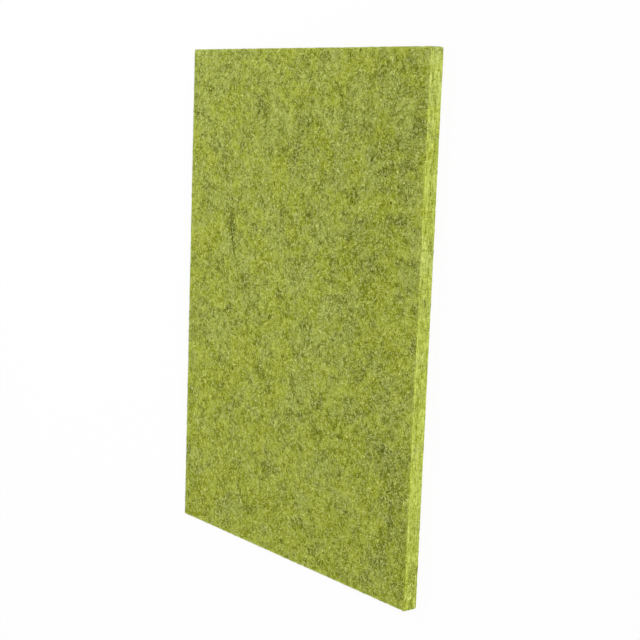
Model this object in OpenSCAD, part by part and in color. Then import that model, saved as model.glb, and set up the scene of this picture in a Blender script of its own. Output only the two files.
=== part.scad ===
// Polyester felt acoustic board, lying flat on its back.
// One needled and pressed piece, cut to size with a blade: four square-cut edges,
// upright corners that the blade leaves nearly sharp, and soft arrises where each
// cut edge meets a face.
// X runs across the board, Y along it and Z through it. The origin is on the floor,
// under the middle of the board.

/* [Board] */
// Width of the board, its short side
board_width = 210; // [100:5:1200]
// Length of the board, its long side
board_length = 297; // [150:1:2400]
// Thickness of the pressed felt
board_thickness = 9; // [6:0.5:25]

/* [Cut edges] */
// Radius of the soft arris where a cut edge meets a face
arris_radius = 0.5; // [0.2:0.1:1.5]
// Radius of the upright corners where two cut edges meet
corner_radius = 0.8; // [0.2:0.1:5]

/* [Hidden] */
felt_colour = [0.60, 0.64, 0.26];
// Sides of a full circle, for the arrises and the corners
$fn = 48;

// Rectangle centred on the origin, with its four corners rounded to a true arc
module rounded_rectangle(width, height, radius) {
    inner_width = width - 2 * radius;
    inner_height = height - 2 * radius;
    square([width, inner_height], center = true);
    square([inner_width, height], center = true);
    for (x = [-1, 1], y = [-1, 1])
        translate([x * inner_width / 2, y * inner_height / 2])
            circle(r = radius);
}

// The blade's cut, straight down through the felt
module cut_outline() {
    linear_extrude(board_thickness)
        rounded_rectangle(board_width, board_length, corner_radius);
}

// Section across the board, run along its length: the arrises of the two long edges
module section_across() {
    translate([0, board_length / 2, board_thickness / 2])
        rotate([90, 0, 0])
            linear_extrude(board_length)
                rounded_rectangle(board_width, board_thickness, arris_radius);
}

// Section along the board, run across its width: the arrises of the two short edges
module section_along() {
    translate([-board_width / 2, 0, board_thickness / 2])
        rotate([90, 0, 90])
            linear_extrude(board_width)
                rounded_rectangle(board_length, board_thickness, arris_radius);
}

module felt_board() {
    color(felt_colour)
        intersection() {
            cut_outline();
            section_across();
            section_along();
        }
}

felt_board();
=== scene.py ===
"""Looks of a pressed polyester felt board: heathered fibres, soft cut edges and the studio round them.

Lengths are in millimetres unless a name or comment says otherwise. Places are in the board's own frame: the
origin is on the floor under the middle of the board, +X runs across it, +Y along it and +Z out of its front.
"""

import math

import bpy
import numpy as np
from mathutils import Matrix, Vector, noise

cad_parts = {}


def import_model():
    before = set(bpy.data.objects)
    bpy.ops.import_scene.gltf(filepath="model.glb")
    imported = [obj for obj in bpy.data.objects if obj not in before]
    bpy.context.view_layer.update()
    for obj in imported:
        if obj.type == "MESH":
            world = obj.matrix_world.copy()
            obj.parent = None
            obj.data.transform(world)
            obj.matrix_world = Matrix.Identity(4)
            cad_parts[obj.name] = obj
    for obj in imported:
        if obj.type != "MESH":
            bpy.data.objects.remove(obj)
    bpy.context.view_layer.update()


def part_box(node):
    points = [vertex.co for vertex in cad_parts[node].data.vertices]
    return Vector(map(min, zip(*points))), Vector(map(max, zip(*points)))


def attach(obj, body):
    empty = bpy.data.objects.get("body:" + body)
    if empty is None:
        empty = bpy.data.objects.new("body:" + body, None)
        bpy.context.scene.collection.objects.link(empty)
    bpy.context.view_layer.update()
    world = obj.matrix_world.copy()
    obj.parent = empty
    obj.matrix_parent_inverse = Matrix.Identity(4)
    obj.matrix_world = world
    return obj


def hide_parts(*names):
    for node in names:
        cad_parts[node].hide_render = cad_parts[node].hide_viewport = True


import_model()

MM = 0.001
NODE = "felt_board"
LOW = np.array(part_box(NODE)[0]) / MM
HIGH = np.array(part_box(NODE)[1]) / MM

# Camera, from the perspective of the board's corners in the photograph
CAMERA_PLACE = (603.2, 116.8, 490.2)
CAMERA_AIM = (15.0, -4.1, 0.0)
CAMERA_ROLL = math.radians(2.12)
CAMERA_LENS = 76.2
SENSOR_WIDTH = 36.0

# Floor: half its width in metres, its colour, and how white it is to the camera
FLOOR_HALF = 3.0
FLOOR_COLOUR = (0.92, 0.92, 0.92)
FLOOR_GLOW = 0.94
# Strength of the even light from all round, which the camera doesn't see
WORLD_FILL = 0.36
# Suns: name, azimuth and elevation in degrees, strength, and how wide the sun looks in degrees
SUNS = (
    ("key", 5.0, 27.5, 2.5, 40.0),
    ("fill", 215.0, 20.0, 0.5, 40.0),
)
# Soft box, which aims at the origin: power in watts, and width and place in metres
SOFT_BOX_POWER = 1.2
SOFT_BOX_WIDTH = 0.3
SOFT_BOX_PLACE = (-0.35, 0.25, 0.5)

# Body of the felt: it lies just under the fibres, so that they and not the body reach the board's size
BODY_INSET = 0.12
BODY_LOW = LOW + BODY_INSET
BODY_HIGH = HIGH - BODY_INSET
ARRIS_RADIUS = 0.5
BODY_PITCH = 1.4
EDGE_ROWS = 8

# Relief of the pressed felt: feature size and height of each layer, and how far the layers' noise is shifted
RELIEF_LAYERS = ((11.0, 0.05), (3.6, 0.06))
RELIEF_SHIFT = 40.0

# Unwrapping of the body: the two faces stand side by side, and the four cut edges lie as strips above them
UV_MAP = "OFBake"
UV_MARGIN = 0.004
FACE_UV_HEIGHT = 0.82
STRIP_UV_HEIGHT = 0.045

# Fibres. Each has a tip, rings of three corners along it and another tip
SEED = 297
RINGS = 2
RING_CORNERS = 3
# Unwrapping of the fibres: each fibre has a square cell, with so many cells in a row and a margin in each
FIBRE_UV_CELLS = 117
FIBRE_UV_MARGIN = 0.1
# Height of the lowest fibres over the floor
LOWEST_FIBRE = 0.01

# The felt's blend: name, colour, how many fibres, how much they gather in the clouds, their width and the
# height that the highest of them arch to
BLEND = (
    ("pale_fibres", (0.855, 0.905, 0.28), 13500, 0.4, 0.205, 0.18),
    ("bright_fibres", (0.545, 0.615, 0.128), 13500, -0.5, 0.22, 0.16),
    ("lime_fibres", (0.303, 0.355, 0.018), 13500, -0.3, 0.24, 0.13),
    ("olive_fibres", (0.14, 0.168, 0.001), 13500, 0.5, 0.25, 0.10),
    ("dark_fibres", (0.070, 0.086, 0.001), 13500, 1.4, 0.225, 0.09),
)
FIBRE_LENGTHS = (1.3, 3.8)
# Narrowest and widest fibre of a sort, as shares of its width
WIDTH_SHARES = (0.6, 1.4)
# How far below the highest arch of its sort a fibre may lie
ARCH_SPREAD = 0.13
# Places that are tried for each fibre that is kept, and how sharply the clouds choose among them
PLACES_TRIED = 3
GATHER_POWER = 1.6
# Share of the fibres on the front face and on the back face. The rest lie on the cut edges
FRONT_SHARE = 0.57
BACK_SHARE = 0.33
# Turn at each step along a fibre, in radians: the spread of its steady part and of its loose part
STEADY_CURL = 0.7
LOOSE_CURL = 0.45
# Steepness of the fibres in the cut edges, which lie nearly parallel to the faces
CUT_STEEPNESS = 0.12

# Clouds of dark fibres: feature size, octaves, place in the noise and strength of each layer
CLOUD_LAYERS = (
    (12.0, 3, 7.0, 0.46),
    (4.5, 2, 19.0, 0.90),
)
CLOUD_BIAS = -0.05
# A narrow rim of the faces and the cut edges show few of the dark fibres
RIM_WIDTH = 1.5
RIM_DROP = 0.5
CUT_CLOUD_SHARE = 0.2
# Dark clumps on the front face and an edge: middle, half length, half width, angle of the long way in
# degrees, and strength. The faint ones near the end are broad. The broad one on the edge is painted shade
CLUMPS = (
    ((-60, 45, 9), 16, 2.5, 96, 0.9),
    ((-1, 90, 9), 13, 2.0, 81, 1.3),
    ((-34, 116, 9), 6, 2.5, 130, 1.2),
    ((9, 107, 9), 3, 3, 0, 1.0),
    ((-76, 89, 9), 8, 3, 0, 1.2),
    ((-53, 91, 9), 6, 1.5, 90, 1.0),
    ((-66, 74, 9), 4, 3, 20, 1.2),
    ((64, 90, 9), 3, 3, 0, 1.0),
    ((55, 105, 9), 7, 2, 75, 0.8),
    ((31, 77, 9), 7, 3, 145, 1.0),
    ((97, 108, 9), 6, 4, 60, 1.3),
    ((86, 59, 9), 8, 3, 10, 1.2),
    ((12, 56, 9), 3, 3, 0, 0.8),
    ((-12, 55, 9), 3, 2, 60, 0.8),
    ((68, 33, 9), 8, 3, 160, 1.0),
    ((-45, 11, 9), 5, 3, 0, 1.2),
    ((-14, 8, 9), 4, 4, 0, 1.2),
    ((32, 12, 9), 12, 2, 12, 1.0),
    ((-55, -16, 9), 3, 3, 0, 1.0),
    ((17, -9, 9), 2, 3, 0, 1.0),
    ((102, -4, 9), 5, 2, 90, 1.4),
    ((60, -30, 9), 5, 3, 45, 1.0),
    ((-26, -43, 9), 10, 4, 130, 1.0),
    ((-70, -57, 9), 9, 3, 0, 0.9),
    ((-71, -74, 9), 4, 3, 0, 0.8),
    ((38, -57, 9), 5, 2, 120, 1.0),
    ((26, -49, 9), 4, 4, 0, 0.8),
    ((84, -66, 9), 11, 3, 140, 1.1),
    ((-19, -98, 9), 8, 4, 60, 1.2),
    ((9, -114, 9), 4, 2, 90, 0.9),
    ((52, -107, 9), 2, 2, 0, 1.2),
    ((90, -100, 9), 12, 2, 95, 1.1),
    ((86, -118, 9), 6, 3, 80, 1.1),
    ((-34, -127, 9), 7, 3, 0, 0.9),
    ((-59, -128, 9), 3, 2, 0, 0.9),
    ((-4, -139, 9), 3, 3, 0, 1.1),
    ((52, -143, 9), 4, 2, 0, 1.0),
    ((-102, -105, 9), 5, 2, 90, 1.2),
    ((88, -80, 9), 45, 12, 90, 0.2),
    ((85, 105, 9), 25, 18, 90, 0.2),
    ((72, 58, 9), 22, 10, 0, 0.2),
    ((70, 25, 9), 25, 12, 0, 0.2),
    # Painted shade: a darker stretch of the +X cut edge towards the -Y end
    ((105, -130, 4), 20, 6, 90, 0.6),
    ((105, 18, 5), 1, 1, 90, 2.0),
)

# A dark strand on the front face, its lower end and a shorter one across it: the places on their way
DARK_STRANDS = (
    ((-60.6, 52), (-61.3, 48), (-61.8, 45), (-61.3, 42), (-60.2, 38.4), (-59.5, 35.4), (-59.1, 32.4)),
    ((-59.1, 32.4), (-58.3, 29.2), (-56.9, 26), (-56, 23.4)),
    ((-61.2, 38.5), (-58.8, 38.6), (-56.3, 38.5)),
)
# Fibres side by side in each stretch of a strand, how far they stray, their width, their height over the
# front face, and how far they reach past both ends as a share of the stretch
STRAND_FIBRES = 4
STRAND_SPREAD = 0.1
STRAND_WIDTH = 0.33
STRAND_LIFT = 0.06
STRAND_OVERLAP = 0.1
# Small dark knots on the front face, each of short fibres that cross there
DARK_KNOTS = (
    (63.7, 89.3),
    (-12.7, 53.9),
    (54.3, -106.4),
    (51.4, 147.0),
    (80.2, 68.0),
    (49.5, 66.2),
    (-60.9, 59.6),
)
KNOT_FIBRES = 4
KNOT_LENGTH = 1.5

# Grain of the body's own surface: size and detail of its noise, which is squeezed through the board
GRAIN_SIZE = 0.55
GRAIN_DETAIL = 1.5
GRAIN_SQUEEZE = 1.6
# How much darker the clouds make it, and its colours from dark to light
CLOUD_DARKENING = 0.17
GRAIN_COLOURS = (
    (0.30, (0.143, 0.173, 0.002)),
    (0.5, (0.298, 0.351, 0.014)),
    (0.70, (0.49, 0.56, 0.094)),
)
# Streaks in the cut edges: scale along the faces and through the board, size, detail and strength
CUT_STREAKS = (
    (0.10, 1.0, 0.65, 2.0, 1.15),
    (0.05, 0.35, 0.9, 1.0, 0.6),
)
# Curls drawn on the body between the fibres: colour, strength, size of their bends, width and shift
CURLS = (
    ((0.14, 0.17, 0.001), 0.9, 1.4, 0.040, 0.0),
    ((0.57, 0.64, 0.13), 0.9, 1.2, 0.036, 31.0),
    ((0.082, 0.10, 0.001), 0.9, 1.5, 0.030, 57.0),
    ((0.86, 0.915, 0.265), 1.0, 1.3, 0.029, 83.0),
    ((0.82, 0.875, 0.25), 1.0, 1.0, 0.026, 109.0),
)
CURL_DETAIL = 1.5
CURL_CRIMP = 0.8
# A curl shows only in patches: size and detail of their noise, and where in it they fade in
CURL_PATCH_SIZE = 2.5
CURL_PATCH_DETAIL = 1.0
CURL_PATCH_FADE = (0.42, 0.56)
# Cut edges show fewer curls than the faces and are greyer, with painted light and painted arris highlights
CUT_CURL_LOSS = 0.45
CUT_GREYNESS = 0.6
CUT_PAINTED_LIGHT = 0.075
ARRIS_PAINTED_HIGHLIGHT = 0.25

# Greyer patches of the blend: the blue that they add as a share of the green, the size and detail of their
# noise, where in it they fade in, and what the clouds and each mm towards the +Y end add to it
HEATHER_BLUE = 0.062
HEATHER_SIZE = 16.0
HEATHER_DETAIL = 4.0
HEATHER_FADE = (0.38, 0.62)
HEATHER_CLOUD = 0.15
HEATHER_DRIFT = 0.0004

# Shades within a fibre's colour: size and detail of their noise, and the darkest and lightest as places in
# the noise and shares of the colour
SHADE_SIZE = 3.0
SHADE_DETAIL = 2.0
SHADES = ((0.25, 0.7), (0.75, 1.3))

# Surface: height of the bumps and their strength, roughness, how much smoother light parts are, and gloss
BUMP_HEIGHT = 0.3
BUMP_STRENGTH = 0.7
BODY_ROUGHNESS = 0.95
FIBRE_ROUGHNESS = 0.85
LIGHT_SMOOTHING = 0.2
BODY_GLOSS = 0.0
FIBRE_GLOSS = 0.02


def unit(vectors):
    """The vectors, made one unit long."""
    return vectors / np.linalg.norm(vectors, axis=-1, keepdims=True)


def smooth_noise(points, size, octaves, place):
    """Noise from about -1 to 1 at each point, with features of that size, from that place in the noise."""
    return np.array([noise.fractal(Vector(p), 1.0, 2.0, octaves) for p in points / size + place])


def onto_skin(points):
    """The nearest places on the skin of the body, and the directions out of it there."""
    core = np.clip(points, BODY_LOW + ARRIS_RADIUS, BODY_HIGH - ARRIS_RADIUS)
    outward = unit(points - core)
    return core + outward * ARRIS_RADIUS, outward


def cut_share(points):
    """1 on the cut edges, 0 on the faces and between the two on the arrises."""
    return 1.0 - np.abs(onto_skin(points)[1][:, 2])


def relief(points):
    """Height of the felt's own unevenness at each place on the skin."""
    return sum(
        height * smooth_noise(points, size, 2, RELIEF_SHIFT * layer)
        for layer, (size, height) in enumerate(RELIEF_LAYERS)
    )


def clump(points, middle, half_length, half_width, angle, strength):
    """One long, soft clump at each point: its strength in the middle, falling to nothing round it."""
    turn = math.radians(angle)
    apart = points - middle
    along = apart @ (math.cos(turn), math.sin(turn), 0.0)
    aside = (apart**2).sum(axis=1) - along**2
    return strength * np.exp(-((along / half_length) ** 2) - aside / half_width**2)


def cloudiness(points):
    """How many dark fibres gather at each place, from about -1 for few to 1 for many."""
    clouds = CLOUD_BIAS + sum(
        strength * smooth_noise(points, size, octaves, place)
        for size, octaves, place, strength in CLOUD_LAYERS
    )
    inward = (HIGH[:2] - np.abs(points[:, :2])).min(axis=1)
    rim = np.exp(-((inward / RIM_WIDTH) ** 2))
    clouds = clouds * (1 - (1 - CUT_CLOUD_SHARE) * cut_share(points)) - RIM_DROP * rim
    for one in CLUMPS:
        clouds += clump(points, *one)
    return clouds


def new_mesh(name, points, faces, uvs, floats):
    """A smooth mesh from arrays: places in mm, the corners of each face, their UVs and floats by point."""
    count, corners = faces.shape
    mesh = bpy.data.meshes.new(name)
    mesh.vertices.add(len(points))
    mesh.vertices.foreach_set("co", (points * MM).astype(np.float32).ravel())
    mesh.loops.add(faces.size)
    mesh.loops.foreach_set("vertex_index", faces.astype(np.int32).ravel())
    mesh.polygons.add(count)
    mesh.polygons.foreach_set("loop_start", np.arange(count, dtype=np.int32) * corners)
    mesh.polygons.foreach_set("use_smooth", np.ones(count, bool))
    layer = mesh.uv_layers.new(name=UV_MAP)
    layer.data.foreach_set("uv", uvs.astype(np.float32).ravel())
    for key, values in floats.items():
        mesh.attributes.new(key, "FLOAT", "POINT").data.foreach_set("value", values.astype(np.float32))
    mesh.update()
    mesh.validate()
    made = bpy.data.objects.new(name, mesh)
    bpy.context.scene.collection.objects.link(made)
    return made


def grid_lines(low, high, cells):
    """Places of the grid lines from low to high: close ones over each arris, even cells between them."""
    turn = ARRIS_RADIUS * math.tan(math.pi / 8)
    near, far = low + ARRIS_RADIUS, high - ARRIS_RADIUS
    return np.concatenate([[low, near - turn], np.linspace(near, far, cells + 1), [far + turn, high]])


def on_outside(counts):
    """True for the crossings of the grid that lie on the outside of the box."""
    outside = np.zeros(counts, bool)
    for axis in range(3):
        ends = [slice(None)] * 3
        ends[axis] = [0, -1]
        outside[tuple(ends)] = True
    return outside


def chart(axis, end, lines):
    """Places in the UV map of one side of the body, for each crossing of its grid lines."""
    first, second = [(line - line[0]) / (line[-1] - line[0]) for line in lines]
    across, up = np.meshgrid(first, second, indexing="ij")
    if axis == 2:
        left, width, bottom, height = (0.5 if end else 0.0), 0.5, 0.0, FACE_UV_HEIGHT
    else:
        row = 2 * axis + (1 if end else 0)
        left, width, bottom, height = 0.0, 1.0, FACE_UV_HEIGHT + row * STRIP_UV_HEIGHT, STRIP_UV_HEIGHT
    u = left + UV_MARGIN + across * (width - 2 * UV_MARGIN)
    v = bottom + UV_MARGIN + up * (height - 2 * UV_MARGIN)
    return np.stack([u, v], axis=-1)


def body_side(axis, end, index, lines):
    """The four-cornered faces of one side of the body, facing out, and their UVs."""
    sheet = np.take(index, end, axis=axis)
    flat = chart(axis, end, [lines[other] for other in range(3) if other != axis])
    faces = np.stack([sheet[:-1, :-1], sheet[1:, :-1], sheet[1:, 1:], sheet[:-1, 1:]], axis=-1)
    uvs = np.stack([flat[:-1, :-1], flat[1:, :-1], flat[1:, 1:], flat[:-1, 1:]], axis=-2)
    if (end == 0) == (axis != 1):
        faces = faces[..., ::-1]
        uvs = uvs[..., ::-1, :]
    return faces.reshape(-1, 4), uvs.reshape(-1, 2)


def felt_body():
    """The whole board as one closed, gently uneven mesh."""
    span = BODY_HIGH - BODY_LOW
    cells = [round(span[0] / BODY_PITCH), round(span[1] / BODY_PITCH), EDGE_ROWS]
    lines = [grid_lines(BODY_LOW[axis], BODY_HIGH[axis], cells[axis]) for axis in range(3)]
    places = np.stack(np.meshgrid(*lines, indexing="ij"), axis=-1)
    outside = on_outside(places.shape[:3])
    index = np.full(outside.shape, -1)
    index[outside] = np.arange(outside.sum())
    points, outward = onto_skin(places[outside])
    points = points + outward * relief(points)[:, None]
    sides = [body_side(axis, end, index, lines) for axis in range(3) for end in (0, -1)]
    faces, uvs = [np.concatenate(parts) for parts in zip(*sides)]
    floats = {"cloud": cloudiness(points), "cut": cut_share(points)}
    return new_mesh("felt_body", points, faces, uvs, floats)


def fibre_starts(rng, count):
    """Places of the fibres' middles on the skin, spread over the two faces and the cut edges."""
    starts = rng.uniform(BODY_LOW + ARRIS_RADIUS, BODY_HIGH - ARRIS_RADIUS, (count, 3))
    lot = rng.uniform(size=count)
    front, back = lot < FRONT_SHARE, (lot >= FRONT_SHARE) & (lot < FRONT_SHARE + BACK_SHARE)
    starts[front, 2] = BODY_HIGH[2]
    starts[back, 2] = BODY_LOW[2]
    edges = ~(front | back)
    width, length = (BODY_HIGH - BODY_LOW)[:2]
    along_length = edges & (rng.uniform(size=count) < length / (width + length))
    along_width = edges & ~along_length
    side = rng.integers(0, 2, count).astype(bool)
    starts[along_length, 0] = np.where(side, BODY_HIGH[0], BODY_LOW[0])[along_length]
    starts[along_width, 1] = np.where(side, BODY_HIGH[1], BODY_LOW[1])[along_width]
    return starts


def fibre_paths(rng, starts, lengths, lift):
    """Crimped paths over one side of the body, cut off at its arrises, and the directions out along them."""
    places, outward = onto_skin(starts)
    across = np.abs(outward) > 0.9
    near, far = BODY_LOW + ARRIS_RADIUS / 2, BODY_HIGH - ARRIS_RADIUS / 2
    heading = unit(np.cross(outward, rng.normal(size=places.shape)))
    on_cut = np.abs(outward[:, 2]) < 0.5
    heading[on_cut, 2] *= CUT_STEEPNESS
    heading = unit(heading)
    curl = rng.normal(0.0, STEADY_CURL, len(places))
    steps = RINGS + 2
    step = lengths[:, None] / (steps - 1)
    path, normals = [], []
    for _ in range(steps):
        path.append(places)
        normals.append(outward)
        turn = (curl + rng.normal(0.0, LOOSE_CURL, len(places)))[:, None]
        heading = unit(heading * np.cos(turn) + np.cross(outward, heading) * np.sin(turn))
        moved = places + heading * step
        places, outward = onto_skin(np.where(across, moved, np.clip(moved, near, far)))
        heading = unit(heading - outward * (heading * outward).sum(1, keepdims=True))
    path, normals = np.stack(path, axis=1), np.stack(normals, axis=1)
    arch = np.sin(np.linspace(0.0, math.pi, steps))
    return path + normals * (arch * lift[:, None])[:, :, None], normals


def fibre_shape():
    """The triangles of one fibre, as corner numbers: the first tip, the rings and the last tip."""
    last = RINGS * RING_CORNERS + 1
    shape = []
    for corner in range(RING_CORNERS):
        other = (corner + 1) % RING_CORNERS
        shape.append((0, 1 + other, 1 + corner))
        for ring in range(RINGS - 1):
            a, b = 1 + ring * RING_CORNERS + corner, 1 + ring * RING_CORNERS + other
            c, d = a + RING_CORNERS, b + RING_CORNERS
            shape += [(a, b, d), (a, d, c)]
        end = 1 + (RINGS - 1) * RING_CORNERS
        shape.append((end + corner, end + other, last))
    return np.array(shape)


def fibre_uvs(shape, count):
    """The fibres' places in the UV map: each lies in a cell of its own, from end to end of it."""
    along = np.concatenate([[0.0], np.repeat(np.linspace(0.2, 0.8, RINGS), RING_CORNERS), [1.0]])
    around = np.concatenate([[0.5], np.tile(np.linspace(0.1, 0.9, RING_CORNERS), RINGS), [0.5]])
    local = np.stack([along, around], axis=-1)[shape]
    numbers = np.arange(count)
    cell = np.stack([numbers % FIBRE_UV_CELLS, numbers // FIBRE_UV_CELLS], axis=-1)[:, None, None]
    inside = FIBRE_UV_MARGIN + (1 - 2 * FIBRE_UV_MARGIN) * local
    return ((cell + inside) / FIBRE_UV_CELLS).reshape(-1, 2)


def fibres(name, paths, normals, widths, clouds):
    """One mesh of closed, tapered fibres along the paths."""
    count = len(paths)
    along = unit(paths[:, 2:] - paths[:, :-2])
    middle, out = paths[:, 1:-1], normals[:, 1:-1]
    side = unit(np.cross(out, along))
    half = widths[:, None, None] / 2
    rings = np.stack([middle - side * half, middle + side * half, middle + out * half], axis=2)
    points = np.concatenate([paths[:, :1], rings.reshape(count, -1, 3), paths[:, -1:]], axis=1)
    per_fibre = points.shape[1]
    shape = fibre_shape()
    faces = shape[None] + (np.arange(count) * per_fibre)[:, None, None]
    floats = {"cloud": np.repeat(clouds, per_fibre)}
    return new_mesh(name, points.reshape(-1, 3), faces.reshape(-1, 3), fibre_uvs(shape, count), floats)


def blend_fibres(rng, name, count, gather, width, arch):
    """One sort of fibre of the blend, thicker on the ground where the clouds say so."""
    starts = fibre_starts(rng, PLACES_TRIED * count)
    clouds = cloudiness(starts)
    keep = np.exp(gather * GATHER_POWER * clouds) * rng.uniform(size=len(starts))
    chosen = np.argsort(-keep)[:count]
    starts, clouds = starts[chosen], clouds[chosen]
    lengths = rng.uniform(*FIBRE_LENGTHS, count)
    lift = rng.uniform(arch - ARCH_SPREAD, arch, count)
    paths, normals = fibre_paths(rng, starts, lengths, lift)
    widths = width * rng.uniform(*WIDTH_SHARES, count)
    paths[..., 2] = np.maximum(paths[..., 2], LOWEST_FIBRE + widths[:, None] / 2)
    return fibres(name, paths, normals, widths, clouds)


def knot_ends():
    """Both ends of the fibres in the small dark knots."""
    angles = np.arange(KNOT_FIBRES) * math.pi / KNOT_FIBRES
    reach = np.stack([np.cos(angles), np.sin(angles)], axis=-1) * KNOT_LENGTH / 2
    middles = np.array(DARK_KNOTS)[:, None]
    return np.stack([middles - reach, middles + reach], axis=2).reshape(-1, 2, 2)


def dark_strands(rng):
    """The dark strands on the front face, as fibres that lie end to end, and the small knots."""
    ends = [pair for line in DARK_STRANDS for pair in zip(line[:-1], line[1:])]
    ends = np.concatenate([np.repeat(np.array(ends, float), STRAND_FIBRES, axis=0), knot_ends()])
    steps = np.linspace(-STRAND_OVERLAP, 1 + STRAND_OVERLAP, RINGS + 2)[None, :, None]
    flat = ends[:, :1] * (1 - steps) + ends[:, 1:] * steps
    flat += rng.normal(0.0, STRAND_SPREAD, flat.shape)
    paths = np.concatenate([flat, np.full((*flat.shape[:2], 1), HIGH[2] + STRAND_LIFT)], axis=-1)
    normals = np.broadcast_to((0.0, 0.0, 1.0), paths.shape)
    return fibres("dark_strands", paths, normals, np.full(len(paths), STRAND_WIDTH), np.ones(len(paths)))


class Shader:
    """A material's node tree, with short ways to add to it."""

    def __init__(self, name):
        self.material = bpy.data.materials.new(name)
        self.material.use_nodes = True
        self.tree = self.material.node_tree
        self.tree.nodes.clear()

    def add(self, kind, sockets=None, **settings):
        """A new node. sockets gives a value or a link for each input, and settings its other options."""
        made = self.tree.nodes.new(kind)
        for key, value in settings.items():
            setattr(made, key, value)
        for key, value in (sockets or {}).items():
            if isinstance(value, bpy.types.NodeSocket):
                self.tree.links.new(value, made.inputs[key])
            else:
                made.inputs[key].default_value = value
        return made

    def math(self, operation, *values):
        return self.add("ShaderNodeMath", dict(enumerate(values)), operation=operation).outputs[0]

    def place(self):
        """The place on the board, in metres."""
        return self.add("ShaderNodeTexCoord").outputs["Object"]

    def attribute(self, name):
        """A float that the mesh holds for each point."""
        return self.add("ShaderNodeAttribute", attribute_name=name).outputs["Fac"]

    def stretch(self, place, flat, upright):
        """Coordinates in mm, scaled by flat along the faces and by upright through the board."""
        scale = (flat / MM, flat / MM, upright / MM)
        return self.add("ShaderNodeVectorMath", {0: place, 1: scale}, operation="MULTIPLY").outputs[0]

    def noise(self, where, size, detail, distortion=0.0):
        """Noise from 0 to 1 with features of that size in mm. where is in mm."""
        sockets = {"Vector": where, "Scale": 1 / size, "Detail": detail, "Distortion": distortion}
        return self.add("ShaderNodeTexNoise", sockets).outputs["Fac"]

    def fade(self, value, zero, one):
        """Smooth step of the value: 0 at zero and beyond, 1 at one and beyond."""
        low, high = min(zero, one), max(zero, one)
        start, end = (0.0, 1.0) if one > zero else (1.0, 0.0)
        sockets = {"Value": value, "From Min": low, "From Max": high, "To Min": start, "To Max": end}
        return self.add("ShaderNodeMapRange", sockets, interpolation_type="SMOOTHSTEP").outputs[0]

    def mix(self, share, first, second):
        return self.add("ShaderNodeMix", {0: share, 6: first, 7: second}, data_type="RGBA").outputs[2]

    def ramp(self, value, stops):
        """The colour for a value, from stops that each give a place in it and a colour."""
        made = self.add("ShaderNodeValToRGB", {"Fac": value})
        elements = made.color_ramp.elements
        while len(elements) < len(stops):
            elements.new(0.5)
        for element, (place, colour) in zip(elements, stops):
            element.position = place
            element.color = (*colour, 1.0)
        return made.outputs["Color"]

    def finish(self, surface):
        """Makes that shader the material's surface."""
        self.add("ShaderNodeOutputMaterial", {"Surface": surface})
        return self.material


def background_share(tree):
    """1 for the rays that show the background: from the camera, off gloss and through glass."""
    path = tree.nodes.new("ShaderNodeLightPath")
    share = path.outputs["Is Camera Ray"]
    for ray in ("Is Glossy Ray", "Is Transmission Ray"):
        either = tree.nodes.new("ShaderNodeMath")
        either.operation = "MAXIMUM"
        tree.links.new(share, either.inputs[0])
        tree.links.new(path.outputs[ray], either.inputs[1])
        share = either.outputs[0]
    return share


def greyness(s, place, cloud):
    """1 in the greyer patches of the blend and 0 in the fresh ones. The clouds and the +Y end are greyer."""
    where = s.stretch(place, 1.0, 1.0)
    along = s.add("ShaderNodeSeparateXYZ", {0: where}).outputs["Y"]
    patches = s.noise(where, HEATHER_SIZE, HEATHER_DETAIL)
    patches = s.math("MULTIPLY_ADD", along, HEATHER_DRIFT, patches)
    return s.fade(s.math("MULTIPLY_ADD", cloud, HEATHER_CLOUD, patches), *HEATHER_FADE)


def heather(s, colour, share):
    """The colour with blue added as a share of its green, so that it looks greyer."""
    parts = s.add("ShaderNodeSeparateColor", {"Color": colour})
    more = s.math("MULTIPLY", s.math("MULTIPLY", share, HEATHER_BLUE), parts.outputs["Green"])
    blue = s.math("ADD", parts.outputs["Blue"], more)
    sockets = {"Red": parts.outputs["Red"], "Green": parts.outputs["Green"], "Blue": blue}
    return s.add("ShaderNodeCombineColor", sockets).outputs[0]


def grain_colour(s, place, where, cloud, cut):
    """Colour of the body's grain, which runs in streaks along the cut edges."""
    grain = s.noise(where, GRAIN_SIZE, GRAIN_DETAIL)
    for flat, upright, size, detail, strength in CUT_STREAKS:
        streaks = s.math("SUBTRACT", s.noise(s.stretch(place, flat, upright), size, detail), 0.5)
        grain = s.math("MULTIPLY_ADD", s.math("MULTIPLY", cut, streaks), strength, grain)
    return s.ramp(s.math("MULTIPLY_ADD", cloud, -CLOUD_DARKENING, grain), GRAIN_COLOURS)


def with_curls(s, colour, where, cut):
    """The colour with thin curls drawn over it, each where its own noise crosses the middle."""
    for tint, strength, size, width, shift in CURLS:
        shifts = (shift, shift, shift)
        moved = s.add("ShaderNodeVectorMath", {0: where, 1: shifts}, operation="ADD").outputs[0]
        field = s.noise(moved, size, CURL_DETAIL, CURL_CRIMP)
        ridge = s.math("ABSOLUTE", s.math("SUBTRACT", field, 0.5))
        patches = s.fade(s.noise(moved, CURL_PATCH_SIZE, CURL_PATCH_DETAIL), *CURL_PATCH_FADE)
        shown = s.math("MULTIPLY", patches, s.math("MULTIPLY_ADD", cut, -CUT_CURL_LOSS, 1.0))
        share = s.math("MULTIPLY", s.math("MULTIPLY", s.fade(ridge, width, 0.0), shown), strength)
        colour = s.mix(share, colour, (*tint, 1.0))
    return colour


def with_painted_edge_light(s, colour, cut):
    """The colour with painted light on the cut edges and a stronger painted highlight on the arrises."""
    arris_highlight = s.math("MULTIPLY", cut, s.math("SUBTRACT", 1.0, cut))
    painted_gain = s.math("MULTIPLY_ADD", arris_highlight, 4 * ARRIS_PAINTED_HIGHLIGHT, s.math("MULTIPLY_ADD", cut, CUT_PAINTED_LIGHT, 1.0))
    return s.add("ShaderNodeVectorMath", {0: colour, "Scale": painted_gain}, operation="SCALE").outputs[0]


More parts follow.
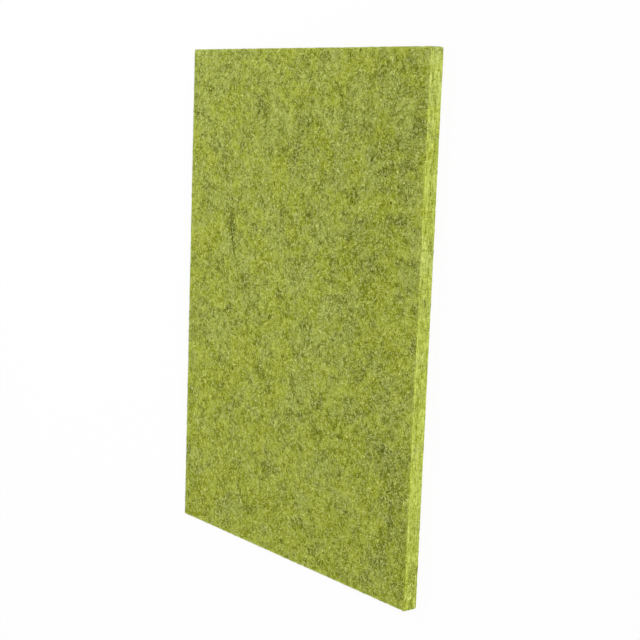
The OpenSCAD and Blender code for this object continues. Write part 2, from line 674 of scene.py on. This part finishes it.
def felt_material():
    """The felt: grain, curls, heathering and streaked cut edges, with painted light on edges and arrises."""
    s = Shader("heathered_felt")
    place = s.place()
    where = s.stretch(place, 1.0, GRAIN_SQUEEZE)
    cloud = s.attribute("cloud")
    cut = s.attribute("cut")
    colour = with_curls(s, grain_colour(s, place, where, cloud, cut), where, cut)
    colour = heather(s, colour, s.math("MULTIPLY_ADD", cut, CUT_GREYNESS, greyness(s, place, cloud)))
    # Painted light on the cut edges and a painted highlight on the arrises
    colour = with_painted_edge_light(s, colour, cut)
    height = s.add("ShaderNodeRGBToBW", {"Color": colour}).outputs[0]
    bumps = {"Strength": BUMP_STRENGTH, "Distance": BUMP_HEIGHT * MM, "Height": height}
    surface = s.add(
        "ShaderNodeBsdfPrincipled",
        {
            "Base Color": colour,
            "Roughness": s.math("MULTIPLY_ADD", height, -LIGHT_SMOOTHING, BODY_ROUGHNESS),
            "Normal": s.add("ShaderNodeBump", bumps).outputs[0],
            "Specular IOR Level": BODY_GLOSS,
        },
    )
    return s.finish(surface.outputs[0])


def fibre_material(name, colour):
    """One sort of fibre, in darker and lighter shades of its colour and heathered like the body."""
    s = Shader(name)
    place = s.place()
    shade = s.noise(s.stretch(place, 1.0, 1.0), SHADE_SIZE, SHADE_DETAIL)
    tint = s.ramp(shade, [(stop, tuple(share * part for part in colour)) for stop, share in SHADES])
    tint = heather(s, tint, greyness(s, place, s.attribute("cloud")))
    surface = s.add(
        "ShaderNodeBsdfPrincipled",
        {
            "Base Color": tint,
            "Roughness": s.math("MULTIPLY_ADD", shade, -LIGHT_SMOOTHING, FIBRE_ROUGHNESS),
            "Specular IOR Level": FIBRE_GLOSS,
        },
    )
    return s.finish(surface.outputs[0])


def floor_material():
    """White to the camera, apart from the board's shadow, and plain white paint to the light."""
    s = Shader("white_floor")
    paint = s.add("ShaderNodeBsdfDiffuse", {"Color": (*FLOOR_COLOUR, 1.0)}).outputs[0]
    glow = s.add("ShaderNodeEmission", {"Color": (1.0, 1.0, 1.0, 1.0), "Strength": 1.0}).outputs[0]
    seen = s.math("MULTIPLY", background_share(s.tree), FLOOR_GLOW)
    return s.finish(s.add("ShaderNodeMixShader", {0: seen, 1: paint, 2: glow}).outputs[0])


def floor():
    """The floor that the board lies on."""
    mesh = bpy.data.meshes.new("floor")
    corners = [(x * FLOOR_HALF, y * FLOOR_HALF, 0) for x, y in ((-1, -1), (1, -1), (1, 1), (-1, 1))]
    mesh.from_pydata(corners, [], [(0, 1, 2, 3)])
    made = bpy.data.objects.new("floor", mesh)
    bpy.context.scene.collection.objects.link(made)
    mesh.materials.append(floor_material())


def background(tree, strength):
    """A white background of that strength."""
    made = tree.nodes.new("ShaderNodeBackground")
    made.inputs["Color"].default_value = (1.0, 1.0, 1.0, 1.0)
    made.inputs["Strength"].default_value = strength
    return made.outputs[0]


def world():
    """Even light from all round, and plain white where the background shows."""
    made = bpy.data.worlds.new("studio")
    bpy.context.scene.world = made
    made.use_nodes = True
    tree = made.node_tree
    tree.nodes.clear()
    mix = tree.nodes.new("ShaderNodeMixShader")
    out = tree.nodes.new("ShaderNodeOutputWorld")
    tree.links.new(background_share(tree), mix.inputs[0])
    tree.links.new(background(tree, WORLD_FILL), mix.inputs[1])
    tree.links.new(background(tree, 1.0), mix.inputs[2])
    tree.links.new(mix.outputs[0], out.inputs["Surface"])


def lamp(name, data, backward):
    """A lamp with that data, which shines away from the direction backward."""
    made = bpy.data.objects.new(name, data)
    made.rotation_mode = "QUATERNION"
    made.rotation_quaternion = backward.to_track_quat("Z", "Y")
    bpy.context.scene.collection.objects.link(made)
    return made


def sun(name, azimuth, elevation, strength, spread):
    """A wide sun. Angles are in degrees."""
    data = bpy.data.lights.new(name, "SUN")
    data.energy = strength
    data.angle = math.radians(spread)
    a, e = math.radians(azimuth), math.radians(elevation)
    lamp(name, data, Vector((math.cos(a) * math.cos(e), math.sin(a) * math.cos(e), math.sin(e))))


def soft_box():
    """A small square lamp, above and beyond the board's corner at -X and +Y."""
    data = bpy.data.lights.new("soft_box", "AREA")
    data.energy = SOFT_BOX_POWER
    data.size = SOFT_BOX_WIDTH
    lamp("soft_box", data, Vector(SOFT_BOX_PLACE)).location = SOFT_BOX_PLACE


def camera():
    """The camera, rolled a little, so that the board stands in the picture as in the photograph."""
    data = bpy.data.cameras.new("camera")
    data.lens = CAMERA_LENS
    data.sensor_width = SENSOR_WIDTH
    made = bpy.data.objects.new("camera", data)
    place, aim = Vector(CAMERA_PLACE) * MM, Vector(CAMERA_AIM) * MM
    forward = (aim - place).normalized()
    level = forward.cross(Vector((0, 1, 0))).normalized()
    upright = level.cross(forward)
    right = level * math.cos(CAMERA_ROLL) + upright * math.sin(CAMERA_ROLL)
    up = right.cross(forward)
    made.matrix_world = Matrix.Translation(place) @ Matrix((right, up, -forward)).transposed().to_4x4()
    bpy.context.scene.collection.objects.link(made)
    bpy.context.scene.camera = made


camera()
floor()
world()
for settings in SUNS:
    sun(*settings)
soft_box()

body = felt_body()
body.data.materials.append(felt_material())
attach(body, "root")
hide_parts(NODE)

rng = np.random.default_rng(SEED)
for name, colour, count, gather, width, arch in BLEND:
    sort = blend_fibres(rng, name, count, gather, width, arch)
    sort.data.materials.append(fibre_material(name, colour))
    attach(sort, "root")

strands = dark_strands(rng)
strands.data.materials.append(fibre_material("dark_strands", BLEND[-1][1]))
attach(strands, "root")

bpy.context.scene.view_settings.view_transform = "Standard"
